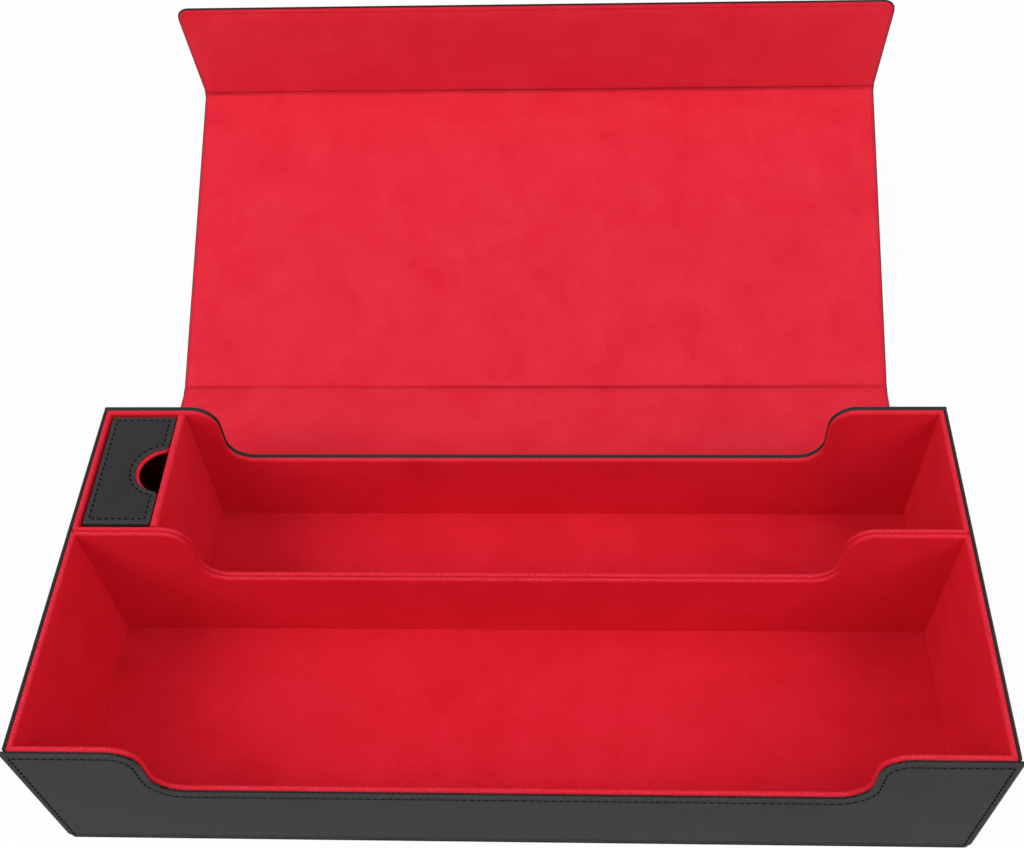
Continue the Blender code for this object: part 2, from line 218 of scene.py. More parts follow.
# Drawn-over leather turns a lighter grey: scuffed coating, and along the rim a painted highlight
scuffs = add_node(tree, "ShaderNodeTexNoise", {"Vector": place, "Scale": 700.0, "Detail": 3.0})
scuffed = add_node(tree, "ShaderNodeMapRange", {
    "Value": scuffs, "From Min": 0.3, "From Max": 0.7, "To Min": 0.35, "To Max": 0.95})
share = add_node(tree, "ShaderNodeMath", {0: drawn_and_highlight, 1: scuffed}, operation="MULTIPLY")
shade = add_node(tree, "ShaderNodeMix", {
    "Factor": share, 6: colour, 7: linear("#4A4A49")}, data_type="RGBA")
bump = add_node(tree, "ShaderNodeBump", {"Height": relief, "Strength": 0.7, "Distance": 0.00022})
gloss = add_node(tree, "ShaderNodeMapRange", {
    "Value": relief, "From Min": 0.2, "From Max": 0.8, "To Min": 0.02, "To Max": 0.26})
surface = add_node(tree, "ShaderNodeBsdfPrincipled", {
    "Base Color": shade.outputs[2], "Roughness": 0.55, "Normal": bump, "IOR": 1.50,
    "Specular IOR Level": gloss})
add_node(tree, "ShaderNodeOutputMaterial", {"Surface": surface})

# Raw greyboard: dull, fibrous, with darker flecks, and hidden once the box is covered
greyboard, tree, place = new_material("raw_greyboard")
flecks = add_node(tree, "ShaderNodeTexNoise", {"Vector": place, "Scale": 900.0, "Detail": 4.0})
colour = add_node(tree, "ShaderNodeValToRGB", {"Fac": flecks})
colour.color_ramp.elements[0].color = linear("#7D766C")
colour.color_ramp.elements[1].color = linear("#A39C91")
bump = add_node(tree, "ShaderNodeBump", {"Height": flecks, "Strength": 0.3, "Distance": 0.0001})
surface = add_node(tree, "ShaderNodeBsdfPrincipled", {
    "Base Color": colour, "Roughness": 0.92, "Normal": bump})
add_node(tree, "ShaderNodeOutputMaterial", {"Surface": surface})


def millimetres(*sizes):
    """A table of sizes in millimetres, turned into metres."""
    return np.array(sizes) / 1000


def paint(node, material):
    """Give a node of the frame its material."""
    mesh = frame["nodes"][node].data
    mesh.materials.clear()
    mesh.materials.append(material)


def finish_piece(name, mesh, material, body=None, stands_for=(), edge_angle=40):
    """Link a finished mesh as a piece: name, smooth shading, material, and its place in the frame."""
    mesh.name = name
    mesh.materials.clear()
    mesh.materials.append(material)
    mesh.shade_smooth()
    mesh.set_sharp_from_angle(angle=math.radians(edge_angle))
    piece = bpy.data.objects.new(name, mesh)
    scene.collection.objects.link(piece)
    if stands_for:
        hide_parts(*stands_for)
    if body:
        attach(piece, body)
    return piece


def mark(mesh, name, values):
    """Store a value from 0 to 1 on each point of a mesh, for its material to read."""
    stored = mesh.attributes.new(name, "FLOAT", "POINT").data
    stored.foreach_set("value", np.asarray(values, dtype=float).ravel())


def double_sheet(across, along, low, high, place):
    """Closed mesh between two height fields over one grid of points, laid out by place()."""
    heights = [np.broadcast_to(field, across.shape) for field in (low, high)]
    points = np.concatenate([place(across, along, height).reshape(-1, 3) for height in heights])
    count = across.size
    index = np.arange(count).reshape(across.shape)
    cells = np.stack([index[:-1, :-1], index[:-1, 1:], index[1:, 1:], index[1:, :-1]], axis=-1).reshape(-1, 4)
    rim = np.concatenate([index[0], index[1:, -1], index[-1, -2::-1], index[-2:0:-1, 0]])
    after = np.roll(rim, -1)
    faces = np.concatenate([cells + count, cells[:, ::-1],
                            np.stack([rim, after, after + count, rim + count], axis=-1)])
    mesh = bpy.data.meshes.new("sheet")
    mesh.from_pydata(points.tolist(), [], faces.tolist())
    mesh.update()
    return mesh


paint("base_board", greyboard)
base_low, base_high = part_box("base_leather")
half_length = base_high.x
leather_thickness = base_high.z - base_low.z
crease_axes = [Vector(joint["pos_m"]) for joint in frame["joints"] if "crease" in joint["name"]]
crease_half_width = (crease_axes[1] - crease_axes[0]).length / 2
bullnose = millimetres(0, 0.1, 0.25, 0.5, 1)
bullnose_low = millimetres(0.36, 0.14, 0.05, 0.01, 0)
bullnose_high = millimetres(0.44, 0.66, 0.75, 0.79, 0.8)
base_corner = 0.0035
base_corner_rows = 8
front_rows = np.unique(np.concatenate([bullnose, np.linspace(0.0, base_corner, base_corner_rows)]))
base_along = np.concatenate([base_low.y + front_rows, [0.0, crease_axes[0].y - crease_half_width]])
to_corner = np.clip(base_low.y + base_corner - base_along, 0.0, base_corner)
reach = (half_length - base_corner + np.sqrt(base_corner ** 2 - to_corner ** 2))[:, None]
across = np.concatenate([-reach + bullnose, 0 * reach, reach - bullnose[::-1]], axis=1)
along = np.repeat(base_along[:, None], across.shape[1], axis=1)
past_side = np.abs(across) - (half_length - base_corner)
past_front = base_low.y + base_corner - along
edge = np.where((past_side > 0) & (past_front > 0), base_corner - np.hypot(past_side, past_front),
                np.minimum(half_length - np.abs(across), along - base_low.y))
flat = double_sheet(across, along, np.interp(edge, bullnose, bullnose_low),
                    np.interp(edge, bullnose, bullnose_high), lambda *point: np.stack(point, axis=-1))
finish_piece("base_sheet", flat, black_leather, "box", ["base_leather"])


# Shell walls
# Four boards wrapped in the black coated leather, turned in over every edge and sewn round.
# The long walls fall in an S to the hand dip and lap over the ends of the short ones.
dip_depth = 0.0416
shoulder_radius = 0.0144
foot_radius = 0.014
horn_land = 0.0017
foot_corner = 0.004
top_corner = 0.0011
s_steps = 16
corner_steps = 5
# A corner that is drawn in keeps at least a twelfth of its radius
least_part = 12
quarter_turn = math.pi / 2
box_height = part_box("front_leather")[1].z
shell_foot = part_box("front_leather")[0].z
dip_start = -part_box("partition")[1].x - horn_land
side_turns = {"front": 0.0, "right": quarter_turn, "rear": math.pi, "left": -quarter_turn}


def arc(centre, radius, start, end, steps):
    """Points along a round stretch of an outline."""
    angles = [start + (end - start) * step / steps for step in range(steps + 1)]
    return [(centre[0] + radius * math.cos(a), centre[1] + radius * math.sin(a)) for a in angles]


def corner(across, up, radius, inset, start, side_inset=None):
    """Round outer corner of an outline drawn in by the inset, or by another one at the side."""
    left = max(radius - inset, radius / least_part)
    sign = (math.cos(start) + math.cos(start + quarter_turn) > 0) * 2 - 1
    lift = (math.sin(start) + math.sin(start + quarter_turn) > 0) * 2 - 1
    side = inset if side_inset is None else side_inset
    centre = (across - sign * (side + left), up - lift * (inset + left))
    return arc(centre, left, start, start + quarter_turn, corner_steps)


def mirrored(right):
    return right + [(-across, up) for across, up in reversed(right)]


def dip_arcs(inset):
    """The S from the top of a long wall to its hand dip, on the right-hand side."""
    shoulder = (dip_start, box_height - shoulder_radius)
    foot = (dip_start - shoulder_radius - foot_radius, box_height - dip_depth + foot_radius)
    points = arc(shoulder, shoulder_radius - inset, quarter_turn, math.pi, s_steps)
    return points + arc(foot, foot_radius + inset, 0, -quarter_turn, s_steps)


def end_wall_outline(half, inset, end_inset, low_corner=top_corner):
    """Outline drawn in by one inset along its top and by the other along its ends and foot."""
    low = corner(half, shell_foot, low_corner, end_inset, -quarter_turn)
    high = corner(half, box_height, top_corner, inset, 0.0, end_inset)
    return mirrored(low + high)


def long_wall_outline(half, inset, end_inset):
    ends = end_wall_outline(half, inset, end_inset, foot_corner)
    right = ends[:len(ends) // 2] + dip_arcs(inset)
    return mirrored(right)


def as_mesh(bm):
    """Turn a finished bmesh into a mesh."""
    mesh = bpy.data.meshes.new("shape")
    bm.to_mesh(mesh)
    bm.free()
    return mesh


def loft(rings):
    """Closed mesh through rings of the same number of points, in their order, capped at both ends."""
    bm = bmesh.new()
    loops = [[bm.verts.new(point) for point in ring] for ring in rings]
    for first, second in zip(loops, loops[1:]):
        for index in range(len(first)):
            after = (index + 1) % len(first)
            bm.faces.new((first[index], first[after], second[after], second[index]))
    bm.faces.new(loops[0])
    bm.faces.new(loops[-1])
    bmesh.ops.recalc_face_normals(bm, faces=bm.faces)
    return as_mesh(bm)


def facing(side, across, reach):
    """Place in plan: across as seen from outside a wall, and out from the box's middle."""
    turn = side_turns[side]
    return (across * math.cos(turn) + reach * math.sin(turn),
            across * math.sin(turn) - reach * math.cos(turn))


def beside(side, offset, across, up, out):
    """Point on a wall: across and up as seen from outside, out from the wall's inner face."""
    return Vector((*facing(side, across, offset + out), up))


shell_thickness = 0.0026
pocket_inset = 0.00105
pocket_end = 0.00045
pocket_mouth = 0.00266
# Inset from the edge, depth below the outer face, and how far the grain is drawn flat and lightened there,
# partly as a painted highlight on the rim: field, sewn groove, swell, a faint line over the board's edge, and
# rim
outer_profile = [
    (0.0056, 0.0, 0.0), (0.0046, 0.00004, 0.0), (0.0042, 0.00014, 0.1), (0.0038, 0.00034, 0.3),
    (0.0035, 0.00016, 0.5), (0.0032, 0.0, 0.7), (0.0028, 0.00006, 0.4), (0.0025, 0.00026, 0.1),
    (0.0022, 0.00006, 0.4), (0.0016, 0.0, 0.4), (0.0010, 0.00010, 0.6), (0.00045, 0.00030, 0.9),
    (0.00012, 0.00062, 0.8), (0.0, 0.00095, 0.3)]
# Inset from the top, inset from the ends, and depth: the turned-in edge and the board's pocket
inner_profile = [
    (0.00012, 0.00001, 0.00125), (0.00034, 0.00002, 0.00150), (0.00060, 0.00004, 0.00175),
    (0.00085, 0.00006, 0.00195), (0.00100, 0.00010, 0.00215), (0.00103, 0.00025, pocket_mouth),
    (pocket_inset, pocket_end, pocket_mouth), (pocket_inset, pocket_end, pocket_end)]
shell_profile = [(inset, inset, depth, drawn_and_highlight) for inset, depth, drawn_and_highlight in outer_profile]
shell_profile += [(*inner, 0.0) for inner in inner_profile]


def shell_wall(side, outline, half, offset):
    """One wall's leather: turned in round a board, with a sewn border."""
    rings = []
    drawn_over_and_rim_highlight = []
    for inset, end_inset, depth, drawn_and_highlight in shell_profile:
        ring = outline(half, inset, end_inset)
        rings.append([beside(side, offset, across, up, shell_thickness - depth) for across, up in ring])
        drawn_over_and_rim_highlight += [drawn_and_highlight] * len(ring)
    mesh = loft(rings)
    mark(mesh, "drawn_over_and_rim_highlight", drawn_over_and_rim_highlight)
    finish_piece(side + "_cover", mesh, black_leather, "box", [side + "_leather"])


box_depth_half = -base_low.y
end_wall_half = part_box("left_leather")[1].y
end_wall_set_in = 0.0006
set_in_length = half_length - end_wall_set_in
shell_wall("front", long_wall_outline, half_length, box_depth_half - shell_thickness)
shell_wall("rear", long_wall_outline, set_in_length, box_depth_half - shell_thickness)
for side in ("left", "right"):
    shell_wall(side, end_wall_outline, end_wall_half, set_in_length - shell_thickness)
    paint(side + "_board", greyboard)

merge_distance = 0.000001
board_corner = 0.0034


def merged_copy(node):
    """A frame node's mesh to work on, with its doubled points merged."""
    bm = bmesh.new()
    bm.from_mesh(frame["nodes"][node].data)
    bmesh.ops.remove_doubles(bm, verts=bm.verts, dist=merge_distance)
    return bm


# The boards of the long walls are rounded at the foot, as their leather is
for node in ("front_board", "rear_board"):
    bm = merged_copy(node)
    foot = min(vert.co.z for vert in bm.verts)
    end = max(vert.co.x for vert in bm.verts)
    for sign in (-1, 1):
        middle = Vector((sign * (end - board_corner), 0, foot + board_corner))
        for step in range(1, corner_steps):
            lean = quarter_turn * step / corner_steps
            outwards = Vector((sign * math.cos(lean), 0, -math.sin(lean)))
            bmesh.ops.bisect_plane(bm, geom=[*bm.verts, *bm.edges, *bm.faces], dist=merge_distance,
                                   plane_co=middle + outwards * board_corner, plane_no=outwards,
                                   clear_outer=True)
            bmesh.ops.holes_fill(bm, edges=[edge for edge in bm.edges if edge.is_boundary], sides=0)
    finish_piece("rounded_" + node, as_mesh(bm), greyboard, "box", [node])


# Shell stitching
# Black bonded thread, sewn through the wrapped edges at about seven stitches an inch. Each stitch
# is a short slug that sinks into its groove at both ends.
def bonded_thread(name, dark, light, gloss):
    """Bonded polyester thread: dull, with a fine slanting twist, and painted shade between its strands."""
    thread, tree, place = new_material(name)
    twist = add_node(tree, "ShaderNodeTexWave", {
        "Vector": place, "Scale": 900.0}, bands_direction="DIAGONAL")
    # Painted shade: the ramp darkens the thread between its twisted strands
    colour = add_node(tree, "ShaderNodeValToRGB", {"Fac": twist.outputs["Fac"]})
    colour.color_ramp.elements[0].color = linear(dark)
    colour.color_ramp.elements[1].color = linear(light)
    surface = add_node(tree, "ShaderNodeBsdfPrincipled", {
        "Base Color": colour, "Roughness": 0.8, "Specular IOR Level": gloss})
    add_node(tree, "ShaderNodeOutputMaterial", {"Surface": surface})
    return thread


black_thread = bonded_thread("black_bonded_polyester_thread", "#030303", "#080808", 0.03)
stitch_wobble = 0.05
sewing = bpy.data.node_groups.new("lock_stitches", "GeometryNodeTree")
# The pitch and the sizes of the stitches, under the names of the sewing's inputs
stitch_sizes = {"Pitch": 0.0037, "Stitch length": 0.0024, "Thread width": 0.00115, "Thread height": 0.0009}
kinds = {"Seam": "NodeSocketGeometry", **dict.fromkeys(stitch_sizes, "NodeSocketFloat"),
         "Thread": "NodeSocketMaterial"}
sockets = {label: sewing.interface.new_socket(label, in_out="INPUT", socket_type=kind).identifier
           for label, kind in kinds.items()}
sewing.interface.new_socket("Stitches", in_out="OUTPUT", socket_type="NodeSocketGeometry")
given = add_node(sewing, "NodeGroupInput").outputs
seam = add_node(sewing, "GeometryNodeMeshToCurve", {"Mesh": given["Seam"]})
spots = add_node(sewing, "GeometryNodeCurveToPoints", {
    "Curve": seam, "Length": given["Pitch"]}, mode="LENGTH")
turn = add_node(sewing, "FunctionNodeAlignRotationToVector", {
    "Vector": spots.outputs["Tangent"]}, axis="X", pivot_axis="Z")
wobble = add_node(sewing, "FunctionNodeRandomValue", {
    2: -stitch_wobble, 3: stitch_wobble, "Seed": 7}, data_type="FLOAT")
spin = add_node(sewing, "ShaderNodeCombineXYZ", {"Z": wobble.outputs[1]})
euler = add_node(sewing, "FunctionNodeEulerToRotation", {0: spin})
aimed = add_node(sewing, "FunctionNodeRotateRotation", {
    "Rotation": turn, "Rotate By": euler}, rotation_space="LOCAL")
size = add_node(sewing, "ShaderNodeCombineXYZ", {
    "X": given["Stitch length"], "Y": given["Thread width"], "Z": given["Thread height"]})
slug = add_node(sewing, "GeometryNodeMeshUVSphere", {"Segments": 8, "Rings": 6, "Radius": 0.5})
sewn = add_node(sewing, "GeometryNodeInstanceOnPoints", {
    "Points": spots.outputs["Points"], "Instance": slug.outputs["Mesh"], "Rotation": aimed,
    "Scale": size})
realised = add_node(sewing, "GeometryNodeRealizeInstances", {"Geometry": sewn})
coloured = add_node(sewing, "GeometryNodeSetMaterial", {
    "Geometry": realised, "Material": given["Thread"]})
add_node(sewing, "NodeGroupOutput", {0: coloured})


def sew(name, seams, place, thread, body):
    """Stitches along seams drawn flat, in one mesh, laid out in space by place()."""
    points, edges = [], []
    for seam_points, closed in seams:
        first = len(points)
        points += [(across, up, 0.0) for across, up in seam_points]
        edges += [(first + step, first + step + 1) for step in range(len(seam_points) - 1)]
        if closed:
            edges.append((len(points) - 1, first))
    line = bpy.data.meshes.new(name)
    line.from_pydata(points, edges, [])
    piece = bpy.data.objects.new(name, line)
    scene.collection.objects.link(piece)
    machine = piece.modifiers.new("sewing", "NODES")
    machine.node_group = sewing
    for label, value in {**stitch_sizes, "Thread": thread}.items():
        machine[sockets[label]] = value
    evaluated = piece.evaluated_get(bpy.context.evaluated_depsgraph_get())
    mesh = bpy.data.meshes.new_from_object(evaluated)
    bpy.data.objects.remove(piece)
    flat = np.empty(len(mesh.vertices) * 3)
    mesh.vertices.foreach_get("co", flat)
    flat = flat.reshape(-1, 3)
    mesh.vertices.foreach_set("co", place(flat[:, 0], flat[:, 1], flat[:, 2]).ravel())
    mesh.update()
    finish_piece(name, mesh, thread, body, edge_angle=60)


seam_inset = 0.0038
seam_depth = 0.00022


def wall_place(side, offset):
    """Lay a flat seam against the outside of a wall."""
    return lambda across, up, out: np.stack([*facing(side, across, offset - seam_depth + out), up], axis=-1)


for side, outline, half, offset in (
        ("front", long_wall_outline, half_length, box_depth_half),
        ("rear", long_wall_outline, set_in_length, box_depth_half),
        ("left", end_wall_outline, end_wall_half, set_in_length),
        ("right", end_wall_outline, end_wall_half, set_in_length)):
    seam_line = outline(half, seam_inset, seam_inset)[corner_steps // 2:-(corner_steps // 2)]
    sew(side + "_stitching", [(seam_line, False)], wall_place(side, offset), black_thread,
        "box")


# Front row lining
# Four thin boards covered in red suede cloth stand round the row, mitred where they meet. The
# cloth is turned over their top edges, which makes them round and lets the nap catch the light, and their
# tops carry a painted highlight.
nap_clouds = 0.30
nap_fibres = 0.36


def suede(name, light, dark, sheen, top_highlight=None):
    """Red microfibre suede: faint clouds in the nap, short pinkish fibres and a velvety sheen."""
    cloth, tree, place = new_material(name)
    clouds = add_node(tree, "ShaderNodeTexNoise", {
        "Vector": place, "Scale": 34.0, "Detail": 4.0, "Roughness": 0.6, "Distortion": 0.4})
    brushed = add_node(tree, "ShaderNodeMapping", {"Vector": place, "Scale": (1.0, 2.4, 2.4)})
    fibres = add_node(tree, "ShaderNodeTexNoise", {
        "Vector": brushed, "Scale": 420.0, "Detail": 5.0, "Roughness": 0.8})
    nap = add_node(tree, "ShaderNodeMath", {0: clouds, 1: nap_clouds}, operation="MULTIPLY")
    nap = add_node(tree, "ShaderNodeMath", {0: fibres, 1: nap_fibres, 2: nap}, operation="MULTIPLY_ADD")
    colour = add_node(tree, "ShaderNodeValToRGB", {"Fac": nap})
    colour.color_ramp.elements[0].position = 0.17
    colour.color_ramp.elements[0].color = linear(dark)
    colour.color_ramp.elements[1].position = 0.49
    colour.color_ramp.elements[1].color = linear(light)
    # Painted shade: along a crease and a seam the pile is crushed into a groove, and the colour is mixed
    # towards a dark red for the shade that lies there
    pressed = add_node(tree, "ShaderNodeAttribute", attribute_name="pressed_nap").outputs["Fac"]
    painted_shade = add_node(tree, "ShaderNodeMix", {
        "Factor": pressed, 6: colour, 7: linear("#7E000C")}, data_type="RGBA")
    shade = painted_shade.outputs[2]
    if top_highlight:
        # Painted highlight: cloth that faces upwards, along the top of a turned edge, is mixed in flecks
        # towards a pale pink
        normal = add_node(tree, "ShaderNodeNewGeometry").outputs["Normal"]
        split = add_node(tree, "ShaderNodeSeparateXYZ", {0: normal})
        upward = add_node(tree, "ShaderNodeMapRange", {
            "Value": split.outputs["Z"], "From Min": 0.2, "From Max": 0.9})
        flecks = add_node(tree, "ShaderNodeTexNoise", {
            "Vector": place, "Scale": 800.0, "Detail": 3.0, "Roughness": 0.7})
        pale = add_node(tree, "ShaderNodeMapRange", {
            "Value": flecks, "From Min": 0.40, "From Max": 0.70, "To Min": 0.03, "To Max": 0.42})
        highlight_flecks = add_node(tree, "ShaderNodeMath", {0: upward, 1: pale}, operation="MULTIPLY")
        mixed = add_node(tree, "ShaderNodeMix", {
            "Factor": highlight_flecks, 6: shade, 7: linear(top_highlight)}, data_type="RGBA")
        shade = mixed.outputs[2]
    bump = add_node(tree, "ShaderNodeBump", {"Height": fibres, "Strength": 0.5, "Distance": 0.0002})
    surface = add_node(tree, "ShaderNodeBsdfPrincipled", {
        "Base Color": shade, "Roughness": 0.92, "Normal": bump, "IOR": 1.46, "Specular IOR Level": 0.16,
        "Sheen Weight": sheen, "Sheen Roughness": 0.45, "Sheen Tint": linear("#FF8A8A")})
    add_node(tree, "ShaderNodeOutputMaterial", {"Surface": surface})
    return cloth


# Painted shade: the walls' copy of the suede is a darker, deeper red than the floors' and the cover's, for
# the shade between the walls; its pale pink is the painted highlight on their tops
suede_darkened_for_shade = suede("red_microfibre_suede_darkened_for_shade", "#E01A31", "#CB0218", 0.10, "#F0596A")

lining_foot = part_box("front_row_floor")[0].z
corner_cut = 0.0002
mitre_gap = 0.00004
# Depth from the visible face, and inset from the top edge: the round, turned-over top. Against the
# shell it is a thicker roll, which meets the leather's turned-in edge.
plain_top = millimetres(
    (0, 1.6), (0.07, 1.1), (0.25, 0.64), (0.57, 0.28), (0.98, 0.07), (1.4, 0), (1.81, 0.05),
    (2.22, 0.25), (2.54, 0.58), (2.72, 0.98), (2.8, 1.5))
rolled_top = millimetres(
    (0, 1.9), (0.09, 1.34), (0.3, 0.82), (0.65, 0.4), (1.1, 0.1), (1.6, 0), (2.1, 0.07), (2.55, 0.28),
    (2.85, 0.56), (3, 0.84), (3.06, 1.02), (2.8, 1.12))
lining_thickness = plain_top[-1, 0]


def lining_outline(half, dipped, inset):
    """Outline with a straight foot, drawn in only along its top edge."""
    right = [(half, lining_foot), (half, box_height - inset)]
    if dipped:
        right += dip_arcs(inset)
    return mirrored(right)


def lining_panel(node, side, half, dipped, offset, middle=Vector()):
    """Covered board of a row, mitred at both ends, with its cloth turned over the top."""
    rings = []
    for depth, inset in plain_top if node.startswith("divider") else rolled_top:
        ring = []
        for across, up in lining_outline(half, dipped, inset):
            if math.isclose(abs(across), half):
                deep = min(depth, lining_thickness)
                across += math.copysign(deep - corner_cut * (deep / lining_thickness) ** 3, across)
            ring.append(beside(side, offset, across, up, depth) + middle)
        rings.append(ring)
    finish_piece(node + "_cloth", loft(rings), suede_darkened_for_shade, "box", [node])


def lining_ring(names, row_front, row_rear):
    """The four covered boards round one row."""
    middle = Vector((0, (row_front + row_rear) / 2, 0))
    lining_panel(names[0], "front", inner_end - mitre_gap, True, -row_front)
    lining_panel(names[1], "rear", inner_end - mitre_gap, True, row_rear)
    for name, side in ((names[2], "left"), (names[3], "right")):
        lining_panel(name, side, (row_rear - row_front) / 2 - mitre_gap, False, inner_end, middle)


inner_end = -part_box("front_row_left_lining")[0].x - lining_thickness
front_row = (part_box("front_row_front_lining")[1].y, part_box("divider_front_panel")[0].y)
lining_ring(("front_row_front_lining", "divider_front_panel", "front_row_left_lining",
             "front_row_right_lining"), *front_row)

# Rear row lining
# A second ring of the same covered boards. Its front board stands back to back with the first
# ring's rear board, and the two make the divider, with a fine dark seam between them.
rear_row = (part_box("divider_rear_panel")[1].y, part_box("rear_row_rear_lining")[0].y)
lining_ring(("divider_rear_panel", "rear_row_rear_lining", "rear_row_left_lining",
             "rear_row_right_lining"), *rear_row)


# Row floors
# Loose-laid boards covered in the same suede, one in each row and one under the drawer. Their
# cloth is wrapped under, so that the edges are softly rounded.
cloth_round = 0.0002
floor_spread = 0.00026
level = math.radians(1)
sharp_angle = math.radians(30)


def softened(node, name, radius, material, body, spread=0.0):
    """Copy of a box-shaped frame node, spread sideways, with its edges rounded."""
    bm = merged_copy(node)
    middle = sum((vert.co for vert in bm.verts), Vector()) / len(bm.verts)
    for vert in bm.verts:
        vert.co.x += math.copysign(spread, vert.co.x - middle.x)
        vert.co.y += math.copysign(spread, vert.co.y - middle.y)
    bmesh.ops.dissolve_limit(bm, angle_limit=level, verts=bm.verts, edges=bm.edges)
    sharp = [edge for edge in bm.edges if edge.calc_face_angle(0) > sharp_angle]
    bmesh.ops.bevel(bm, geom=sharp, offset=radius, segments=3, profile=0.5, affect="EDGES",
                    clamp_overlap=True)
    finish_piece(name, as_mesh(bm), material, body, [node])


# Painted light: the floors' copy of the same suede is a little pinker than the walls', for the light falling
# on the floors
floor_suede = suede("red_microfibre_suede", "#DF2438", "#CA0A1B", 0.16)
for node in ("front_row_floor", "rear_row_floor", "drawer_well_floor"):
    softened(node, node + "_cloth", cloth_round, floor_suede, "box", floor_spread)

# Partition
# A thicker covered board closes the drawer's well off from the rear row. It is full height, and
# the cloth is drawn over its top in one soft round.
partition_low, partition_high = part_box("partition")
partition_middle = (partition_low + partition_high) / 2
partition_half = (partition_high.y - partition_low.y) / 2
partition_thickness = partition_high.x - partition_low.x
partition_steps = 12
partition_rings = []
for step in range(partition_steps + 1):
    swing = math.pi * step / partition_steps
    depth = partition_thickness / 2 * (1 - math.cos(swing))
    inset = partition_thickness / 2 * (1 - math.sin(swing))
    partition_rings.append([
        Vector((partition_low.x + depth, partition_middle.y + across, up)) for across, up in
        ((-partition_half, lining_foot), (partition_half, lining_foot),
         (partition_half, box_height - inset), (-partition_half, box_height - inset))])
finish_piece("partition_cloth", loft(partition_rings), suede_darkened_for_shade, "box", ["partition"])

# Drawer
# A tall tray that lifts straight out of its well. Its sides are boards covered in black leather,
# its inside is red suede, and its sewn top has a half-round thumb notch with a padded red edge.
drawer_low, drawer_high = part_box("drawer_face_leather")
drawer_middle = (drawer_low + drawer_high) / 2
drawer_half_width = (drawer_high.x - drawer_low.x) / 2
drawer_half_length = (drawer_high.y - drawer_low.y) / 2
notch_depth = 0.0150
notch_radius = 0.0150
notch_shoulder = 0.0036
notch_offset = -0.0009
notch_end = 0.0004
shoulder_steps = 8
notch_steps = 28
face_corner = 0.0008


def drawer_face_ring(inset, notch_inset, height, notch_height, depth=notch_depth, radius=notch_radius):
    """Ring round the drawer's top, with its own inset and height along the thumb notch."""
    edge = drawer_half_width
    middle = edge - (depth - radius)
    shoulder = edge - notch_shoulder
    lean = math.asin((middle - shoulder) / (radius + notch_shoulder))
    reach = (radius + notch_shoulder) * math.cos(lean)
    small = notch_shoulder - notch_inset
    notch = arc((shoulder, notch_offset - reach), small, 0, quarter_turn - lean, shoulder_steps)
    notch += arc((middle, notch_offset), radius + notch_inset, 3 * quarter_turn - lean,
                 quarter_turn + lean, notch_steps)[1:-1]
    notch += arc((shoulder, notch_offset + reach), small, -quarter_turn + lean, 0, shoulder_steps)
    right = edge - inset
    ends = [corner(sign_x * drawer_half_width, sign_y * drawer_half_length, face_corner, inset, start)
            for sign_x, sign_y, start in ((1, 1, 0.0), (-1, 1, quarter_turn), (-1, -1, math.pi),
                                          (1, -1, -quarter_turn))]
    flat = [(right, notch_offset - reach - notch_end), *notch, (right, notch_offset + reach + notch_end)]
    count = len(flat)
    points = flat + [point for end in ends for point in end]
    ring = []
    for index, (across, up) in enumerate(points):
        in_notch = 0 < index < count - 1
        ring.append(Vector((drawer_middle.x + across, drawer_middle.y + up,
                            notch_height if in_notch else height)))
    return ring


face_top = drawer_high.z
sheet_drop = 0.0002
skirt_lift = 0.0003
sheet_foot = drawer_low.z - sheet_drop
skirt_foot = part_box("drawer_face_board")[0].z + skirt_lift
skirt = 0.0005
skirt_drawn_and_highlight = 0.3
face_groove = 0.0029
# Inset from the edge, depth below the top, and how far the grain is drawn flat and lightened, partly as a
# painted highlight on the rim: field, groove, swell, rim
face_profile = [
    (0.0035, 0.0, 0.0), (0.0033, 0.00005, 0.0), (0.0031, 0.00014, 0.1), (face_groove, 0.00028, 0.4),
    (0.0026, 0.00012, 0.4), (0.0022, 0.0, 0.5), (0.0013, 0.00002, 0.3), (0.0007, 0.00010, 0.4),
    (0.00025, 0.00026, 0.9), (0.0, 0.00052, 1.0)]
# The sheet's foot, turned in: inset at the sides and along the notch, then height at both
turned_in = [
    (0.0, 0.0, skirt_foot + 0.0003, sheet_foot + 0.0002), (0.0002, 0.0001, skirt_foot, sheet_foot),
    (skirt, 0.0004, skirt_foot, sheet_foot), (skirt, 0.0005, sheet_foot, sheet_foot)]
rings = [drawer_face_ring(inset, inset, face_top - depth, face_top - depth)
         for inset, depth, _ in face_profile]
rings += [drawer_face_ring(*foot) for foot in turned_in]
face = loft(rings)
drawn_over_and_rim_highlight = [drawn_and_highlight for _, _, drawn_and_highlight in face_profile] + [skirt_drawn_and_highlight] * len(turned_in)
mark(face, "drawn_over_and_rim_highlight", np.repeat(drawn_over_and_rim_highlight, len(rings[0])))
finish_piece("drawer_face_cover", face, black_leather, "drawer", ["drawer_face_leather"])

board_gap = 0.00005
board_top = sheet_foot - board_gap
board_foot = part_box("drawer_face_board")[0].z
board_side = skirt + board_gap
